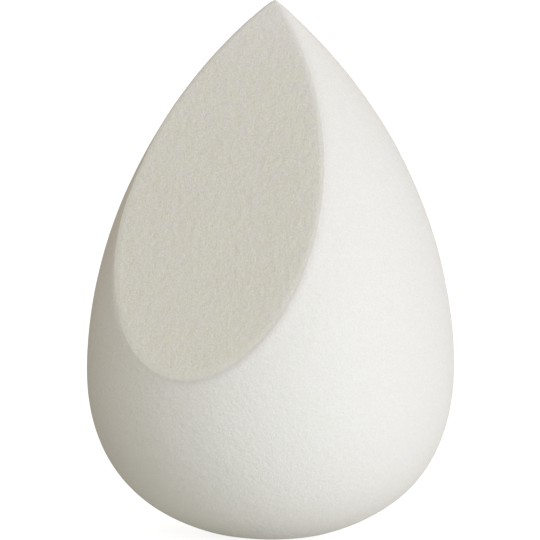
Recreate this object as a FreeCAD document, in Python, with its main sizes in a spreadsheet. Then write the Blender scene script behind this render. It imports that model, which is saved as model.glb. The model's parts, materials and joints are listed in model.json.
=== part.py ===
# Teardrop makeup sponge with one slanted flat face, in millimetres.
# The origin is the centre of the foot, +Z runs up the teardrop's axis and the flat face looks along -Y.
import FreeCAD, Part
import os
import Sketcher

# Driving dimensions: lengths in millimetres, angles in degrees
SIZES = [
    ("height", 60.0, "foot to tip of the moulded teardrop"),
    ("belly_diameter", 40.8, "widest round of the teardrop"),
    ("belly_height", 18.8, "height of the widest round above the foot"),
    ("foot_diameter", 9.0, "flat that the sponge stands on"),
    ("foot_edge_angle", 14.0, "rise of the base where it leaves the foot"),
    ("base_pull", 4.0, "how far the base keeps that rise"),
    ("shoulder_pull", 15.3, "how far below the belly the side stays upright"),
    ("flank_pull", 12.0, "how far above the belly the side stays upright"),
    ("tip_pull", 19.5, "how far down from the tip the flank keeps the tip's slope"),
    ("tip_half_angle", 50.0, "slope of the flank at the tip, from the axis"),
    ("tip_radius", 0.6, "rounding of the tip"),
    ("slice_tilt", 27.2, "lean of the flat face, from upright"),
    ("slice_drop", 0.3, "how far under the tip the flat face crosses the axis"),
    ("skin_thickness", 0.5, "dense layer against the mould wall"),
    ("rim_radius", 0.35, "rounding of the flat face's rim"),
]

document = FreeCAD.newDocument("makeup_sponge")


# A sketch knows a vertex by its geometry's number and 1, 2 or 3, and its own axes by -1 and -2
def start_of(geometry):
    return (geometry, 1)


def end_of(geometry):
    return (geometry, 2)


def centre_of(geometry):
    return (geometry, 3)


def level_axis():
    return -1


def upright_axis():
    return -2


def origin():
    return start_of(level_axis())


def make_size_sheet():
    sheet = document.addObject("Spreadsheet::Sheet", "sizes")
    for row, (name, value, meaning) in enumerate(SIZES, start=1):
        sheet.set(f"A{row}", meaning)
        sheet.set(f"B{row}", str(value))
        sheet.setAlias(f"B{row}", name)
    document.recompute()
    return sheet


def new_sketch(body, name, plane_role):
    sketch = body.newObject("Sketcher::SketchObject", name)
    plane = next(item for item in body.Origin.OriginFeatures if item.Role == plane_role)
    sketch.AttachmentSupport = [(plane, "")]
    sketch.MapMode = "FlatFace"
    return sketch


def point_at(sketch, formulas):
    """The point that a pair of formulas gives for the present sizes."""
    across, up = (sketch.evalExpression(formula) for formula in formulas)
    return FreeCAD.Vector(across, up, 0)


def hold(sketch, kind, members, formula):
    """Add a dimension to a sketch and bind it to a formula."""
    value = sketch.evalExpression(formula)
    if kind == "Angle":
        value = FreeCAD.Units.Quantity(value, FreeCAD.Units.Angle)
    index = sketch.addConstraint(Sketcher.Constraint(kind, *members, value))
    sketch.setExpression(f"Constraints[{index}]", formula)


def hold_point(sketch, vertex, formulas):
    """Hold a vertex at a pair of formulas, measured from the sketch's origin."""
    for kind, formula in zip(("DistanceX", "DistanceY"), formulas):
        hold(sketch, kind, origin() + vertex, formula)


def join(sketch, first, second):
    sketch.addConstraint(Sketcher.Constraint("Coincident", *first, *second))


def rest_on(sketch, vertex, line):
    sketch.addConstraint(Sketcher.Constraint("PointOnObject", *vertex, line))


def add_curve(sketch, pole_formulas):
    """A cubic curve whose end points and handles are held at formulas."""
    poles = [point_at(sketch, formulas) for formulas in pole_formulas]
    curve = sketch.addGeometry(Part.BSplineCurve(poles, None, None, False, 3, None, False))
    first_pole = sketch.GeometryCount
    sketch.exposeInternalGeometry(curve)
    for offset, formulas in enumerate(pole_formulas):
        hold_point(sketch, centre_of(first_pole + offset), formulas)
    return curve


def draw_half_outline(sketch, inset):
    """Half of the teardrop's outline, drawn in from the mould wall by inset."""
    belly_x = f"sizes.belly_diameter / 2 - {inset}"
    foot = ("sizes.foot_diameter / 2", inset)
    foot_handle = (
        f"{foot[0]} + sizes.base_pull * cos(sizes.foot_edge_angle)",
        f"{inset} + sizes.base_pull * sin(sizes.foot_edge_angle)",
    )
    shoulder_handle = (belly_x, "sizes.belly_height - sizes.shoulder_pull")
    belly = (belly_x, "sizes.belly_height")
    flank_handle = (belly_x, "sizes.belly_height + sizes.flank_pull")

    # A layer that is drawn in square to the flanks lowers the tip by more than its own thickness
    tip_centre_z = f"(sizes.height - sizes.tip_radius - {inset} / sin(sizes.tip_half_angle))"
    tip_side = (
        "sizes.tip_radius * cos(sizes.tip_half_angle)",
        f"{tip_centre_z} + sizes.tip_radius * sin(sizes.tip_half_angle)",
    )
    tip_handle = (
        f"{tip_side[0]} + sizes.tip_pull * sin(sizes.tip_half_angle)",
        f"{tip_side[1]} - sizes.tip_pull * cos(sizes.tip_half_angle)",
    )

    foot_centre = point_at(sketch, ("0", inset))
    tip_centre = point_at(sketch, ("0", tip_centre_z))
    tip_side_point = point_at(sketch, tip_side)
    tip_top = tip_centre + FreeCAD.Vector(0, (tip_side_point - tip_centre).Length, 0)

    foot_line = sketch.addGeometry(Part.LineSegment(foot_centre, point_at(sketch, foot)))
    base_curve = add_curve(sketch, [foot, foot_handle, shoulder_handle, belly])
    flank_curve = add_curve(sketch, [belly, flank_handle, tip_handle, tip_side])
    tip_arc = sketch.addGeometry(arc_about(tip_centre, tip_side_point, tip_top))
    axis_line = sketch.addGeometry(Part.LineSegment(tip_top, foot_centre))

    join(sketch, end_of(foot_line), start_of(base_curve))
    sketch.addConstraint(Sketcher.Constraint("Horizontal", foot_line))
    join(sketch, start_of(tip_arc), end_of(flank_curve))
    hold(sketch, "Radius", (tip_arc,), "sizes.tip_radius")
    rest_on(sketch, centre_of(tip_arc), upright_axis())
    join(sketch, end_of(tip_arc), start_of(axis_line))
    join(sketch, end_of(axis_line), start_of(foot_line))
    rest_on(sketch, start_of(axis_line), upright_axis())
    rest_on(sketch, end_of(axis_line), upright_axis())


def arc_about(centre, start, end):
    """The anticlockwise arc about a centre, from one point to another."""
    circle = Part.Circle(centre, FreeCAD.Vector(0, 0, 1), (start - centre).Length)
    return Part.ArcOfCircle(circle, circle.parameter(start), circle.parameter(end))


def revolve_teardrop(body, inset):
    sketch = new_sketch(body, body.Name + "_outline", "XZ_Plane")
    draw_half_outline(sketch, inset)
    document.recompute()
    turned = body.newObject("PartDesign::Revolution", body.Name + "_revolved")
    turned.Profile = sketch
    turned.ReferenceAxis = (sketch, ["V_Axis"])
    turned.Angle = 360
    document.recompute()
    return turned


def draw_slice(sketch):
    """The side view of the foam that is sliced off: a triangle whose long side is the flat face."""
    corner = ("-sizes.belly_diameter", "sizes.height + sizes.belly_diameter")
    crossing = ("0", "sizes.height - sizes.slice_drop")
    top = (
        "(sizes.belly_diameter + sizes.slice_drop) * tan(sizes.slice_tilt)",
        corner[1],
    )
    bottom = (corner[0], f"{crossing[1]} - sizes.belly_diameter / tan(sizes.slice_tilt)")

    ends = [point_at(sketch, formulas) for formulas in (corner, bottom, top)]
    back_line = sketch.addGeometry(Part.LineSegment(ends[0], ends[1]))
    face_line = sketch.addGeometry(Part.LineSegment(ends[1], ends[2]))
    top_line = sketch.addGeometry(Part.LineSegment(ends[2], ends[0]))
    crossing_point = sketch.addGeometry(Part.Point(point_at(sketch, crossing)), True)

    hold_point(sketch, start_of(back_line), corner)
    join(sketch, end_of(back_line), start_of(face_line))
    join(sketch, end_of(face_line), start_of(top_line))
    join(sketch, end_of(top_line), start_of(back_line))
    sketch.addConstraint(Sketcher.Constraint("Vertical", back_line))
    sketch.addConstraint(Sketcher.Constraint("Horizontal", top_line))
    rest_on(sketch, start_of(crossing_point), upright_axis())
    hold(sketch, "DistanceY", origin() + start_of(crossing_point), crossing[1])
    rest_on(sketch, start_of(crossing_point), face_line)
    hold(sketch, "Angle", (level_axis(), face_line), "90 deg - sizes.slice_tilt * 1 deg")


def flat_face_name(shape):
    """The name of the sliced face: the only plane of the shape that isn't level."""
    for number, face in enumerate(shape.Faces, start=1):
        if isinstance(face.Surface, Part.Plane) and abs(face.Surface.Axis.y) > abs(face.Surface.Axis.z):
            return f"Face{number}"
    raise RuntimeError("the slice left no flat face")


def make_sponge_blank():
    """The whole sponge as one body: revolved, sliced, and rounded along the slice's rim."""
    body = document.addObject("PartDesign::Body", "sponge_blank")
    teardrop = revolve_teardrop(body, "0")

    sketch = new_sketch(body, "slice_side_view", "YZ_Plane")
    draw_slice(sketch)
    document.recompute()
    slanted_slice = body.newObject("PartDesign::Pocket", "slanted_slice")
    slanted_slice.Profile = sketch
    slanted_slice.SideType = "Symmetric"
    slanted_slice.Type = "ThroughAll"
    document.recompute()
    if slanted_slice.Shape.Volume >= teardrop.Shape.Volume:
        raise RuntimeError("the slice took nothing off the teardrop")

    rim = body.newObject("PartDesign::Fillet", "rim_rounding")
    rim.Base = (slanted_slice, [flat_face_name(slanted_slice.Shape)])
    rim.setExpression("Radius", "sizes.rim_radius")
    body.Tip = rim
    document.recompute()
    return body


def make_core_blank():
    """The teardrop inside the skin, before the slice."""
    body = document.addObject("PartDesign::Body", "core_blank")
    revolve_teardrop(body, "sizes.skin_thickness")
    return body


def make_layers(sponge, core):
    """Part the sponge into the core that fills the inside and the skin around it."""
    foam_core = document.addObject("Part::Common", "foam_core")
    moulded_skin = document.addObject("Part::Cut", "moulded_skin")
    for layer in (foam_core, moulded_skin):
        layer.Base = sponge
        layer.Tool = core
        layer.Label = layer.Name
    document.recompute()
    return [moulded_skin, foam_core]


def check_document(layers):
    for item in document.Objects:
        if "Invalid" in item.State or "Error" in item.State:
            raise RuntimeError(f"{item.Name} failed: {item.State}")
        if item.isDerivedFrom("Sketcher::SketchObject") and not item.FullyConstrained:
            raise RuntimeError(f"{item.Name} isn't fully constrained")
    for layer in layers:
        if layer.Shape.isNull() or not layer.Shape.isValid() or not layer.Shape.Solids:
            raise RuntimeError(f"{layer.Label} has no valid solid")


def write_layers(layers):
    os.makedirs("parts", exist_ok=True)
    for layer in layers:
        layer.Shape.exportStep(f"parts/{layer.Label}.step")
        box = layer.Shape.optimalBoundingBox()
        print(
            f"{layer.Label}: {len(layer.Shape.Solids)} solid, {layer.Shape.Volume / 1000:.3f} cubic cm,"
            f" {box.XLength:.2f} x {box.YLength:.2f} x {box.ZLength:.2f} mm"
        )


make_size_sheet()
sponge_layers = make_layers(make_sponge_blank(), make_core_blank())
check_document(sponge_layers)
write_layers(sponge_layers)
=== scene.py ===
# Teardrop makeup sponge with one slanted flat face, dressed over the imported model, in metres.
import json
import math

import bpy
import numpy as np
from mathutils import Matrix, Vector, noise


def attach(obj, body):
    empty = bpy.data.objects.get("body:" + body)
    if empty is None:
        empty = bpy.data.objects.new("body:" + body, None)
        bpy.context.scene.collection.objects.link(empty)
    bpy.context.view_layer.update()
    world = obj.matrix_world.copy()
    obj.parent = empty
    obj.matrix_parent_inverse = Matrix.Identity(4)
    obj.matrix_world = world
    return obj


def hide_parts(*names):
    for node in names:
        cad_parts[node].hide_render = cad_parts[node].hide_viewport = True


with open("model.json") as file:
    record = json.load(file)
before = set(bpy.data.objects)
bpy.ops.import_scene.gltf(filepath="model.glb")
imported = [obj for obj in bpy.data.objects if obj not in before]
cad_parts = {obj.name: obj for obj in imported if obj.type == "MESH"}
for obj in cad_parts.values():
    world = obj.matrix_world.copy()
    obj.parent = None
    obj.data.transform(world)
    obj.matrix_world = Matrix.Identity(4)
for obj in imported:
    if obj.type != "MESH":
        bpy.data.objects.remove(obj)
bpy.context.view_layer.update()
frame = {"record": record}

# The moulded teardrop, as in the part's source
HEIGHT = 0.0600
BELLY_RADIUS = 0.0204
BELLY_HEIGHT = 0.0188
FOOT_RADIUS = 0.0045
FOOT_EDGE_ANGLE = math.radians(14.0)
BASE_PULL = 0.0040
SHOULDER_PULL = 0.0153
FLANK_PULL = 0.0120
TIP_PULL = 0.0195
TIP_HALF_ANGLE = math.radians(50.0)
TIP_RADIUS = 0.0006
SKIN_THICKNESS = 0.0005

# Softness of the edges. At the tip the rim keeps only a share of it, and has it all beyond the fade
RIM_SOFTNESS = 0.0005
TIP_SHARE = 0.65
TIP_FADE = 0.006
FOOT_SOFTNESS = 0.0008
WALL_SOFTNESS = 1e-6

# The lip along the slice's rim and the dip behind it. A place is a middle bearing and a spread in degrees
LIP_LENGTH = 0.00038
LIP_REACH = 0.00060
FULLER_LIP = 0.00012
FULLER_PLACE = (107.0, 16.0)
THINNER_LIP = 0.00018
THINNER_PLACE = (146.0, 9.0)
DIP_DEPTH = 0.00022
DIP_REACH = 0.0050

# Painted light: the rim and the thin tip are painted paler, as light that soaks through the foam would make
# them, as a share of the foam's colour
SIDE_PROBE = 0.002
RIGHT_GLOW = 0.080
LEFT_GLOW = 0.045
GLOW_REACH = 0.0009
GLOW_TINT = np.array([1.0, 0.95, 1.8])
FACE_TIP_GLOW = 0.085
SIDE_TIP_GLOW = 0.080
TIP_REACH = 0.0075
BORDER_WIDTH = 0.0004

# Painted shade: a dark crease painted under the rim, deeper and narrower low down, and a wider band painted
# paler on the left
CREASE_SHADE = 0.060
CREASE_SHADE_REACH = 0.0009
CREASE_SHADE_STEEPNESS = 3
CREASE_SHADE_OFFSET = 1.35
LOW_DEEPENING = 1.4
LOW_NARROWING = 0.22
LEFT_DEEPENING = 1.0
LEFT_WIDENING = 1.2
CREASE_SHADE_SHIFT = 0.0002
SHIFT_PLACE = (208.0, 22.0)

# Unevenness of the foam's surface. The noise has a smoothness, a step between octaves and their number
SWELL_HEIGHT = 0.00004
SWELL_LENGTH = 0.0090
SWELL_NOISE = (1.0, 2.0, 2)
DIMPLE_HEIGHT = 0.000004
DIMPLE_LENGTH = 0.0016
DIMPLE_NOISE = (0.8, 2.0, 3)

# How finely the surface is divided. Rings have a first step, a largest step and a growth
COLUMNS = 360
FACE_RINGS = (0.006, 0.022, 1.06)
BAND_RINGS = (0.06, 0.25, 1.3)
SIDE_RINGS = (0.0009, 0.0056, 1.11)
WALL_RINGS = (0.008, 0.03, 1.2)
TIP_CROWDING = 3
CROWDING_REACH = 0.002
BEARING_STEPS = 2881
PROFILE_STEPS = 700
CURVE_STEPS = 400
TIP_STEPS = 40
OUTLINE_OVERRUN = 0.01
RAY_STEPS = 34
RAY_LENGTH = 0.07
EYE_DEPTH = 0.011
SHORTEST_NORMAL = 1e-15

# Colours of thick foam
SKIN_COLOUR = (0.876, 0.866, 0.840)
CORE_COLOUR = (0.873, 0.858, 0.800)

# The foam's textures: their noise, the part of its range that is used, and the roughness of the surface
GRAIN = {"Detail": 3.0, "Roughness": 0.72}
SPECKS = {"Scale": 6500.0, "Detail": 1.0, "Roughness": 0.5}
PATCHES = {"Scale": 620.0, "Detail": 2.0, "Roughness": 0.6}
PORES_PER_GRAIN = 5.0
SPECK_RANGE = (0.3, 0.7)
PATCH_RANGE = (0.35, 0.65)
WHOLE_RANGE = (0.0, 1.0)
ROUGHNESS = (0.80, 0.95)

# Sockets of a node that mixes colours
MIX_FACTOR = 0
MIX_FIRST = 6
MIX_SECOND = 7
MIX_RESULT = 2

# The floor, a hair's breadth under the foot, as it is seen and as a duller source of light
WHITE = (1.0, 1.0, 1.0, 1.0)
FLOOR_HALF_WIDTH = 3.0
FLOOR_GAP = 0.00002
FLOOR_GLOW = 0.82
FLOOR_SHADE = (0.45, 0.45, 0.45, 1.0)
BOUNCE_COLOUR = (1.0, 0.98, 0.84, 1.0)
BOUNCE_SHADE = (0.55, 0.545, 0.525, 1.0)
BOUNCE_FADE = (-0.004, 0.036)
BOUNCE_STRENGTH = (0.16, 0.02)
WORLD_LIGHT = (0.303, 0.281, 0.226, 1.0)

# The photograph's camera, about the middle of the sponge's axis
AIM = Vector((0.0, 0.0, 0.030))
AIM_RIGHT = -0.000160
AIM_UP = -0.000254
CAMERA_BEARING = 29.19
CAMERA_RISE = 8.56
CAMERA_DISTANCE = 1.2
CAMERA_ROLL = 0.58
CAMERA_LENS = 720.8
SENSOR_WIDTH = 36.0
NEAREST_SEEN = 0.1
FARTHEST_SEEN = 20.0

# The bearing to the rear left, where the floor's bounce fades
BOUNCE_FADE_BEARING = CAMERA_BEARING - 130.0

# Soft boxes: bearing to the right of the camera's, rise, width, height and radiance
LAMP_DISTANCE = 1.0
LAMPS = {
    "key": (58.0, 5.0, 0.80, 0.20, (7.59, 7.48, 8.31)),
    "front": (16.0, 13.0, 0.90, 0.46, (2.29, 2.59, 2.78)),
    "fill": (-46.0, 60.0, 0.60, 0.50, (1.52, 1.35, 1.23)),
    "back": (155.0, 24.0, 0.90, 0.50, (1.7, 1.7, 1.7)),
    "rear": (181.0, 10.0, 0.30, 0.30, (7.0, 6.9, 7.0)),
}


def unit(vector):
    """The direction of a vector."""
    return vector / np.linalg.norm(vector)


# The sliced plane, and an eye under it from which rays sound the surface
slice_mount = next(m for m in frame["record"]["mounts"] if m["name"] == "slanted_face")
SLICE_POINT = np.array(slice_mount["pos_m"])
SLICE_NORMAL = unit(np.array(slice_mount["axis"]))
UP_THE_FACE = unit(np.array([0.0, 0.0, 1.0]) - SLICE_NORMAL[2] * SLICE_NORMAL)
ACROSS_THE_FACE = np.cross(SLICE_NORMAL, UP_THE_FACE)
EYE = SLICE_POINT - EYE_DEPTH * SLICE_NORMAL


def cubic(poles):
    """Points along a cubic curve from its end points and handles."""
    t = np.linspace(0.0, 1.0, CURVE_STEPS)[:, None]
    a, b, c, d = (np.array(pole) for pole in poles)
    return (1 - t) ** 3 * a + 3 * (1 - t) ** 2 * t * b + 3 * (1 - t) * t**2 * c + t**3 * d


def half_outline(inset):
    """Radius and height along half of the teardrop's outline, drawn in from the mould wall."""
    belly = BELLY_RADIUS - inset
    tip_centre = HEIGHT - TIP_RADIUS - inset / math.sin(TIP_HALF_ANGLE)
    foot = (FOOT_RADIUS, inset)
    foot_handle = (
        FOOT_RADIUS + BASE_PULL * math.cos(FOOT_EDGE_ANGLE),
        inset + BASE_PULL * math.sin(FOOT_EDGE_ANGLE),
    )
    tip_side = (
        TIP_RADIUS * math.cos(TIP_HALF_ANGLE),
        tip_centre + TIP_RADIUS * math.sin(TIP_HALF_ANGLE),
    )
    tip_handle = (
        tip_side[0] + TIP_PULL * math.sin(TIP_HALF_ANGLE),
        tip_side[1] - TIP_PULL * math.cos(TIP_HALF_ANGLE),
    )
    base = cubic([foot, foot_handle, (belly, BELLY_HEIGHT - SHOULDER_PULL), (belly, BELLY_HEIGHT)])
    flank = cubic([(belly, BELLY_HEIGHT), (belly, BELLY_HEIGHT + FLANK_PULL), tip_handle, tip_side])
    turn = np.linspace(TIP_HALF_ANGLE, math.pi / 2, TIP_STEPS)
    tip = np.stack([TIP_RADIUS * np.cos(turn), tip_centre + TIP_RADIUS * np.sin(turn)], 1)

    # The outline runs on past the foot and the tip, so that heights beyond them have a radius too
    below = np.array([[FOOT_RADIUS, inset - OUTLINE_OVERRUN]])
    above = tip[-1:] + np.array([[-OUTLINE_OVERRUN, OUTLINE_OVERRUN]])
    return np.concatenate([below, base, flank[1:], tip[1:], above])


def soft_max(first, second, softness):
    """The larger of two distances, with the corner between them rounded."""
    near = np.maximum(softness - np.abs(first - second), 0.0) / softness
    return np.maximum(first, second) + near**2 * softness / 4


class Teardrop:
    """A signed distance to the sliced teardrop that is right near its surface."""

    def __init__(self, inset):
        outline = half_outline(inset)
        self.floor = inset
        self.height = outline[:, 1]
        self.radius = outline[:, 0]
        self.slope = np.gradient(self.radius, self.height)

    def round_side(self, points):
        """The distance to the teardrop before the slice."""
        radius = np.interp(points[..., 2], self.height, self.radius)
        slope = np.interp(points[..., 2], self.height, self.slope)
        out = np.hypot(points[..., 0], points[..., 1]) - radius
        side = out / np.sqrt(1 + slope**2)
        return soft_max(side, self.floor - points[..., 2], FOOT_SOFTNESS)

    def sliced(self, softness):
        """A function for the distance after the slice, with the rim rounded by a softness."""

        def distance(points):
            above_slice = (points - SLICE_POINT) @ SLICE_NORMAL
            return soft_max(self.round_side(points), above_slice, softness)

        return distance


def cast(origin, directions, distance):
    """How far rays from inside run until they leave a solid given by its signed distance."""
    low = np.zeros(directions.shape[:-1])
    high = np.full(directions.shape[:-1], RAY_LENGTH)
    for _ in range(RAY_STEPS):
        middle = (low + high) / 2
        outside = distance(origin + middle[..., None] * directions) > 0
        high = np.where(outside, middle, high)
        low = np.where(outside, low, middle)
    return (low + high) / 2


def across(bearing):
    """Directions in the sliced plane, turned from the tip by a bearing."""
    return np.cos(bearing)[..., None] * UP_THE_FACE + np.sin(bearing)[..., None] * ACROSS_THE_FACE


def rim_bearings(drop):
    """Bearings of the columns: even along the rim, and closer together at the tip."""
    bearing = np.linspace(0.0, 2 * math.pi, BEARING_STEPS)
    reach = cast(SLICE_POINT, across(bearing), drop.round_side)
    rim = SLICE_POINT + reach[:, None] * across(bearing)
    from_tip = np.linalg.norm(rim - rim[0], axis=1)
    steps = np.linalg.norm(np.diff(rim, axis=0), axis=1)
    weight = 1 + TIP_CROWDING * np.exp(-((from_tip / CROWDING_REACH) ** 2))
    length = np.concatenate([[0.0], np.cumsum(steps * (weight[1:] + weight[:-1]) / 2)])
    even = np.linspace(0.0, length[-1], COLUMNS, endpoint=False)
    return np.interp(even, length, bearing)


def graded(first, largest, growth):
    """Fractions from 0 to 1 whose steps grow from a first to a largest one."""
    steps = []
    step = first
    while sum(steps) < 1.0:
        steps.append(step)
        step = min(step * growth, largest)
    ends = np.concatenate([[0.0], np.cumsum(steps)])
    return ends / ends[-1]


def sounded(drop, slant, bearing, softness):
    """Points of the surface at a slant from the face's normal, one row for each ring."""
    rays = np.cos(slant)[..., None] * SLICE_NORMAL + np.sin(slant)[..., None] * across(bearing)
    return EYE + cast(EYE, rays, drop.sliced(softness))[..., None] * rays


def length_along(grid):
    """How far each point of a grid lies along its column from the first ring."""
    steps = np.linalg.norm(np.diff(grid, axis=0), axis=2)
    return np.concatenate([np.zeros((1, COLUMNS)), np.cumsum(steps, axis=0)])


def rings_beyond(drop, start, bearing, fractions, softness):
    """Rings of points over the round side, from a start slant to the far pole."""
    run = np.linspace(0.0, 1.0, PROFILE_STEPS)[:, None]
    slant = start + (math.pi - start) * run
    length = length_along(sounded(drop, slant, bearing, softness))
    length /= length[-1]
    chosen = np.stack([np.interp(fractions, length[:, k], slant[:, k]) for k in range(COLUMNS)], 1)
    return sounded(drop, chosen, bearing, softness)


def grid_normals(grid):
    """Outward unit normals of a grid of rings that closes on itself."""
    along = np.gradient(grid, axis=0)
    around = np.roll(grid, -1, axis=1) - np.roll(grid, 1, axis=1)
    normal = np.cross(along, around)
    size = np.linalg.norm(normal, axis=2, keepdims=True)
    return normal / np.maximum(size, SHORTEST_NORMAL)


def unevenness(points):
    """How far each point stands proud: slow swells and fine dimples."""
    flat = points.reshape(-1, 3)
    swell = [noise.fractal(Vector(p / SWELL_LENGTH), *SWELL_NOISE) for p in flat]
    dimple = [noise.fractal(Vector(p / DIMPLE_LENGTH), *DIMPLE_NOISE) for p in flat]
    height = SWELL_HEIGHT * np.array(swell) + DIMPLE_HEIGHT * np.array(dimple)
    return height.reshape(points.shape[:-1])


def hump(bearing, middle, spread):
    """A smooth rise to 1 about a middle bearing, the middle and the spread in degrees."""
    return np.exp(-(((np.degrees(bearing) - middle) / spread) ** 2))


def lip_push(past_rim, rim, bearing, fade):
    """How far the lip and its dip push each point away from the middle of the face."""
    from_rim = np.abs(past_rim)
    beyond = np.arange(len(past_rim))[:, None] > rim
    dip = np.where(beyond, np.exp(-from_rim / DIP_REACH), 1.0)
    fuller = FULLER_LIP * hump(bearing, *FULLER_PLACE)
    thinner = THINNER_LIP * hump(bearing, *THINNER_PLACE)
    flare = LIP_LENGTH + fuller - thinner
    push = fade * (flare * np.exp(-from_rim / LIP_REACH) - DIP_DEPTH * dip)
    push[:rim] = push[rim] * np.exp(-from_rim[:rim] / LIP_REACH)
    return push


def make_surfaces():
    """The sponge's outside from the middle of the face to the far pole, and the wall between its layers."""
    outer = Teardrop(0.0)
    inner = Teardrop(SKIN_THICKNESS)
    bearing = rim_bearings(outer)
    rim_reach = cast(SLICE_POINT, across(bearing), outer.round_side)
    seam_reach = cast(SLICE_POINT, across(bearing), inner.round_side)
    rim_points = rim_reach[:, None] * across(bearing)
    from_tip = np.linalg.norm(rim_points - rim_points[0], axis=1)
    fade = 1 - np.exp(-((from_tip / TIP_FADE) ** 2))
    softness = RIM_SOFTNESS * (TIP_SHARE + (1 - TIP_SHARE) * fade)

    # Rings over the core's face, the cut edge of the skin and the round side
    face_steps = 1 - graded(*FACE_RINGS)[::-1]
    band_steps = 1 - graded(*BAND_RINGS)[::-1]
    face_reach = face_steps[:, None] * seam_reach
    band_reach = seam_reach + band_steps[1:, None] * (rim_reach - seam_reach)
    flat_slant = np.arctan2(np.concatenate([face_reach, band_reach]), EYE_DEPTH)
    flat = sounded(outer, flat_slant, bearing, softness)
    rim_slant = np.arctan2(rim_reach, EYE_DEPTH)
    side = rings_beyond(outer, rim_slant, bearing, graded(*SIDE_RINGS), softness)
    outside = np.concatenate([flat, side[1:]])
    seam = len(face_steps) - 1
    rim = len(flat) - 1

    # The slice flares the foam into a slight lip, which fades out at the tip
    length = length_along(outside)
    past_rim = length - length[rim]
    outside = outside + lip_push(past_rim, rim, bearing, fade)[..., None] * across(bearing)
    outside = outside + unevenness(outside)[..., None] * grid_normals(outside)
    outside[..., 2] = np.maximum(outside[..., 2], 0.0)

    seam_slant = np.arctan2(seam_reach, EYE_DEPTH)
    wall = rings_beyond(inner, seam_slant, bearing, graded(*WALL_RINGS), WALL_SOFTNESS)
    wall[0] = outside[seam]
    return outside, wall, painted_rim_light_and_shade(outside, past_rim, rim, bearing), seam


def painted_rim_light_and_shade(outside, past_rim, rim, bearing):
    """Painted light and shade near the rim and the tip: how much paler or darker each point of the core and
    of the skin is painted than thick foam of its kind.
    """
    # Painted light: the rim is painted paler on the side turned to the light from the right, fainter on the
    # left, and the thin tip is painted paler all round
    probe = np.abs(past_rim - SIDE_PROBE).argmin(axis=0)
    lit = grid_normals(outside)[probe, np.arange(COLUMNS), 0]
    left = np.minimum(lit, 0.0) ** 2
    low = np.maximum(-np.cos(bearing), 0.0)
    near_tip = np.exp(-np.linalg.norm(outside - outside[rim, 0], axis=2) / TIP_REACH)

    glow = RIGHT_GLOW * np.maximum(lit, 0.0) + LEFT_GLOW * left
    face = glow * np.exp(-np.abs(past_rim) / GLOW_REACH) + FACE_TIP_GLOW * near_tip

    # Painted shade in the crease under the rim, which turns to a paler band on the far left
    shade_depth = CREASE_SHADE * np.tanh(CREASE_SHADE_STEEPNESS * lit + CREASE_SHADE_OFFSET)
    crease_shade = shade_depth * (1 + LOW_DEEPENING * low + LEFT_DEEPENING * left)
    crease_shade_reach = CREASE_SHADE_REACH * (1 - LOW_NARROWING * low + LEFT_WIDENING * left)
    past_border = past_rim + CREASE_SHADE_SHIFT * hump(bearing, *SHIFT_PLACE)
    side = SIDE_TIP_GLOW * near_tip - crease_shade * np.exp(-((past_border / crease_shade_reach) ** 2))

    # From the face to the side across the border, where the cut edge of the skin has the core's colour
    past = np.clip(past_border / BORDER_WIDTH + 0.5, 0.0, 1.0)[..., None]
    painted_light_and_shade = 1 + (1 - past) * face[..., None] * GLOW_TINT + past * side[..., None]
    cut_edge = past + (1 - past) * np.array(CORE_COLOUR) / np.array(SKIN_COLOUR)
    return painted_light_and_shade, painted_light_and_shade * cut_edge


def per_vertex(grid):
    """The values of a grid, its first and last ring each drawn together to one pole."""
    return np.concatenate([grid[:1].mean(axis=1), grid[1:-1].reshape(-1, 3), grid[-1:].mean(axis=1)])


def make_piece(name, grid, painted_light_and_shade, sharp_ring, material):
    """A closed mesh from rings of points that shrink to a pole at both ends, with one sharp ring."""
    inner = grid[1:-1]
    vertices = per_vertex(grid)
    ids = 1 + np.arange(inner.shape[0] * COLUMNS).reshape(-1, COLUMNS)
    after = np.roll(ids, -1, axis=1)
    quads = np.stack([ids[:-1], ids[1:], after[1:], after[:-1]], -1).reshape(-1, 4).tolist()
    first_pole = [[0, low, high] for low, high in zip(ids[0].tolist(), after[0].tolist())]
    last = len(vertices) - 1
    last_pole = [[low, last, high] for low, high in zip(ids[-1].tolist(), after[-1].tolist())]
    mesh = bpy.data.meshes.new(name)
    mesh.from_pydata(vertices.tolist(), [], first_pole + quads + last_pole)
    mesh.shade_smooth()
    # The painted light and shade near the rim and the tip, stored on the points for the material
    with_painted_light = mesh.attributes.new("painted_light_and_shade", "FLOAT_VECTOR", "POINT")
    with_painted_light.data.foreach_set("vector", per_vertex(painted_light_and_shade).ravel())
    sharp = set(ids[sharp_ring - 1].tolist())
    for edge in mesh.edges:
        edge.use_edge_sharp = sharp.issuperset(edge.vertices)
    mesh.materials.append(material)
    piece = bpy.data.objects.new(name, mesh)
    bpy.context.scene.collection.objects.link(piece)
    return piece


def empty_tree(owner):
    """Clears the nodes of a material or world, and gives what makes new ones and what links them."""
    owner.use_nodes = True
    tree = owner.node_tree
    tree.nodes.clear()

    def make(kind, **settings):
        node = tree.nodes.new(kind)
        for name, value in settings.items():
            if name in node.inputs:
                node.inputs[name].default_value = value
            else:
                setattr(node, name, value)
        return node

    return make, tree.links.new


def ranged(make, link, value, source, target):
    """A value carried from a source range to a target range."""
    node = make("ShaderNodeMapRange")
    node.inputs["From Min"].default_value = source[0]
    node.inputs["From Max"].default_value = source[1]
    node.inputs["To Min"].default_value = target[0]
    node.inputs["To Max"].default_value = target[1]
    link(value, node.inputs["Value"])
    return node.outputs["Result"]


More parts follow.
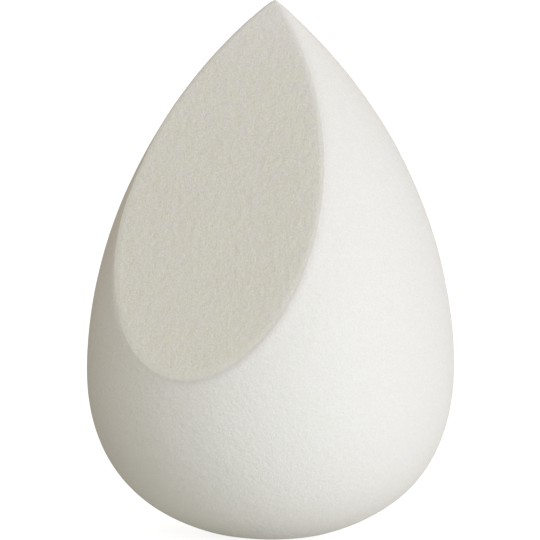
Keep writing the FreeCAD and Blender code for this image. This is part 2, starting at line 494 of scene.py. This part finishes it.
def foam_material(name, colour, grain_scale, grain_depth, pore_depth, speckle, tint):
    """Fine-celled foam: felt-like relief, small pores, pale and dark specks, yellower and pinker patches,
    and painted light and shade from an attribute of the points.
    """
    material = bpy.data.materials.new(name)
    make, link = empty_tree(material)
    output = make("ShaderNodeOutputMaterial")
    shader = make("ShaderNodeBsdfPrincipled")
    shader.inputs["Specular IOR Level"].default_value = 0.0
    coords = make("ShaderNodeTexCoord")
    grain = make("ShaderNodeTexNoise", Scale=grain_scale, **GRAIN)
    pores = make("ShaderNodeTexVoronoi", Scale=grain_scale * PORES_PER_GRAIN, Randomness=1.0)
    specks = make("ShaderNodeTexNoise", **SPECKS)
    patches = make("ShaderNodeTexNoise", **PATCHES)
    for texture in (grain, pores, specks, patches):
        link(coords.outputs["Object"], texture.inputs["Vector"])

    # Colour: patches of two tones, speckled, and multiplied by the painted light and shade near the rim and
    # the tip
    red, green, blue = colour
    tone = make("ShaderNodeMix", data_type="RGBA")
    slight = tint / 4
    yellower = (red, green, blue * (1 - tint), 1.0)
    pinker = (red * (1 + slight), green * (1 - slight), blue * (1 + tint), 1.0)
    tone.inputs[MIX_FIRST].default_value = yellower
    tone.inputs[MIX_SECOND].default_value = pinker
    patch = ranged(make, link, patches.outputs["Fac"], PATCH_RANGE, WHOLE_RANGE)
    link(patch, tone.inputs[MIX_FACTOR])
    speck = ranged(make, link, specks.outputs["Fac"], SPECK_RANGE, (1.0 - speckle, 1.0 + speckle))
    shade = make("ShaderNodeVectorMath", operation="SCALE")
    link(tone.outputs[MIX_RESULT], shade.inputs[0])
    link(speck, shade.inputs["Scale"])
    painted_light_and_shade = make("ShaderNodeAttribute", attribute_name="painted_light_and_shade")
    with_painted_light = make("ShaderNodeVectorMath", operation="MULTIPLY")
    link(shade.outputs[0], with_painted_light.inputs[0])
    link(painted_light_and_shade.outputs["Vector"], with_painted_light.inputs[1])
    link(with_painted_light.outputs[0], shader.inputs["Base Color"])

    rough = ranged(make, link, grain.outputs["Fac"], WHOLE_RANGE, ROUGHNESS)
    link(rough, shader.inputs["Roughness"])

    felt = make("ShaderNodeBump", Strength=1.0, Distance=grain_depth)
    link(grain.outputs["Fac"], felt.inputs["Height"])
    pits = make("ShaderNodeBump", Strength=1.0, Distance=pore_depth)
    link(pores.outputs["Distance"], pits.inputs["Height"])
    link(felt.outputs["Normal"], pits.inputs["Normal"])
    link(pits.outputs["Normal"], shader.inputs["Normal"])
    link(shader.outputs["BSDF"], output.inputs["Surface"])
    return material


def added(make, link, first, second):
    """The sum of two shaders."""
    node = make("ShaderNodeAddShader")
    link(first.outputs[0], node.inputs[0])
    link(second.outputs[0], node.inputs[1])
    return node


def seen_directly(make, link):
    """1 for rays from the camera and for those that mirrors and glass pass on, otherwise 0."""
    path = make("ShaderNodeLightPath")
    first = make("ShaderNodeMath", operation="MAXIMUM")
    second = make("ShaderNodeMath", operation="MAXIMUM")
    link(path.outputs["Is Camera Ray"], first.inputs[0])
    link(path.outputs["Is Glossy Ray"], first.inputs[1])
    link(first.outputs[0], second.inputs[0])
    link(path.outputs["Is Transmission Ray"], second.inputs[1])
    return second.outputs[0]


def switched(make, link, lighting, seen):
    """One shader as a source of light, and another where it is seen directly."""
    switch = make("ShaderNodeMixShader")
    link(seen_directly(make, link), switch.inputs[0])
    link(lighting.outputs[0], switch.inputs[1])
    link(seen.outputs[0], switch.inputs[2])
    return switch


def toward(bearing, rise):
    """A direction out from the sponge, its bearing turned from -Y to +X."""
    turn = math.radians(bearing)
    lift = math.radians(rise)
    return Vector((math.sin(turn) * math.cos(lift), -math.cos(turn) * math.cos(lift), math.sin(lift)))


def floor_material():
    """A pale floor: white where it is seen, with the object's shadow, and duller as a source of light."""
    material = bpy.data.materials.new("floor")
    make, link = empty_tree(material)
    output = make("ShaderNodeOutputMaterial")
    glow = make("ShaderNodeEmission", Color=WHITE, Strength=FLOOR_GLOW)
    shadow = make("ShaderNodeBsdfDiffuse", Color=FLOOR_SHADE)
    seen = added(make, link, glow, shadow)

    # The bounce of light is weaker on the side that the photograph shows darker
    coords = make("ShaderNodeTexCoord")
    rearward = make("ShaderNodeVectorMath", operation="DOT_PRODUCT")
    rearward.inputs[1].default_value = toward(BOUNCE_FADE_BEARING, 0.0)
    link(coords.outputs["Object"], rearward.inputs[0])
    bounce = make("ShaderNodeEmission", Color=BOUNCE_COLOUR)
    fade = ranged(make, link, rearward.outputs["Value"], BOUNCE_FADE, BOUNCE_STRENGTH)
    link(fade, bounce.inputs["Strength"])
    dull = make("ShaderNodeBsdfDiffuse", Color=BOUNCE_SHADE)
    lighting = added(make, link, bounce, dull)

    link(switched(make, link, lighting, seen).outputs[0], output.inputs["Surface"])
    return material


def make_floor():
    """A wide flat floor."""
    mesh = bpy.data.meshes.new("floor")
    half = FLOOR_HALF_WIDTH
    square = ((-half, -half), (half, -half), (half, half), (-half, half))
    mesh.from_pydata([(x, y, -FLOOR_GAP) for x, y in square], [], [(0, 1, 2, 3)])
    mesh.materials.append(floor_material())
    floor = bpy.data.objects.new("floor", mesh)
    bpy.context.scene.collection.objects.link(floor)


def make_world():
    """A world that is white where it is seen and dimmer and warmer as a source of light."""
    world = bpy.data.worlds.new("studio")
    make, link = empty_tree(world)
    output = make("ShaderNodeOutputWorld")
    white = make("ShaderNodeBackground", Color=WHITE, Strength=1.0)
    lighting = make("ShaderNodeBackground", Color=WORLD_LIGHT, Strength=1.0)
    link(switched(make, link, lighting, white).outputs[0], output.inputs["Surface"])
    bpy.context.scene.world = world


def make_camera():
    """The photograph's camera, with its slight roll."""
    back = toward(CAMERA_BEARING, CAMERA_RISE)
    right = Vector((0, 0, 1)).cross(back).normalized()
    up = back.cross(right)
    aim = AIM + AIM_RIGHT * right + AIM_UP * up
    roll = math.radians(CAMERA_ROLL)
    turned_right = math.cos(roll) * right + math.sin(roll) * up
    turned_up = math.cos(roll) * up - math.sin(roll) * right
    data = bpy.data.cameras.new("camera")
    data.sensor_width = SENSOR_WIDTH
    data.lens = CAMERA_LENS
    data.clip_start = NEAREST_SEEN
    data.clip_end = FARTHEST_SEEN
    camera = bpy.data.objects.new("camera", data)
    axes = Matrix((turned_right, turned_up, back)).transposed().to_4x4()
    camera.matrix_world = Matrix.Translation(aim + CAMERA_DISTANCE * back) @ axes
    bpy.context.scene.collection.objects.link(camera)
    bpy.context.scene.camera = camera


def make_lamp(name, bearing, rise, width, tall, radiance):
    """A soft box of a given radiance, turned to the sponge, its bearing to the right of the camera's."""
    data = bpy.data.lights.new(name, "AREA")
    data.shape = "RECTANGLE"
    data.size = width
    data.size_y = tall
    strength = max(radiance)
    data.color = tuple(part / strength for part in radiance)
    data.energy = strength * width * tall * math.pi
    lamp = bpy.data.objects.new(name, data)
    out = toward(CAMERA_BEARING + bearing, rise)
    lamp.location = AIM + LAMP_DISTANCE * out
    lamp.rotation_euler = out.to_track_quat("Z", "Y").to_euler()
    lamp.visible_camera = False
    bpy.context.scene.collection.objects.link(lamp)


# The pieces, with painted light and shade near the rim and the tip in their colour
outside, wall, (core_painted_light, skin_painted_light_and_edge), seam = make_surfaces()
skin_foam = foam_material(
    "skin_foam",
    SKIN_COLOUR,
    grain_scale=1350.0,
    grain_depth=0.000102,
    pore_depth=0.000012,
    speckle=0.037,
    tint=0.005,
)
core_foam = foam_material(
    "core_foam",
    CORE_COLOUR,
    grain_scale=1000.0,
    grain_depth=0.000140,
    pore_depth=0.00002,
    speckle=0.062,
    tint=0.023,
)
hidden = np.ones_like(wall[1:])
skin_grid = np.concatenate([wall[:0:-1], outside[seam:]])
core_grid = np.concatenate([outside[: seam + 1], wall[1:]])
skin = make_piece("skin", skin_grid, np.concatenate([hidden, skin_painted_light_and_edge[seam:]]), len(wall) - 1, skin_foam)
core = make_piece("core", core_grid, np.concatenate([core_painted_light[: seam + 1], hidden]), seam, core_foam)
for piece, node, slot in ((skin, "moulded_skin", "skin_foam"), (core, "foam_core", "core_foam")):
    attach(piece, "root")
    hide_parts(node)

make_floor()
make_world()
make_camera()
for name, settings in LAMPS.items():
    make_lamp(name, *settings)

bpy.context.scene.view_settings.view_transform = "Standard"
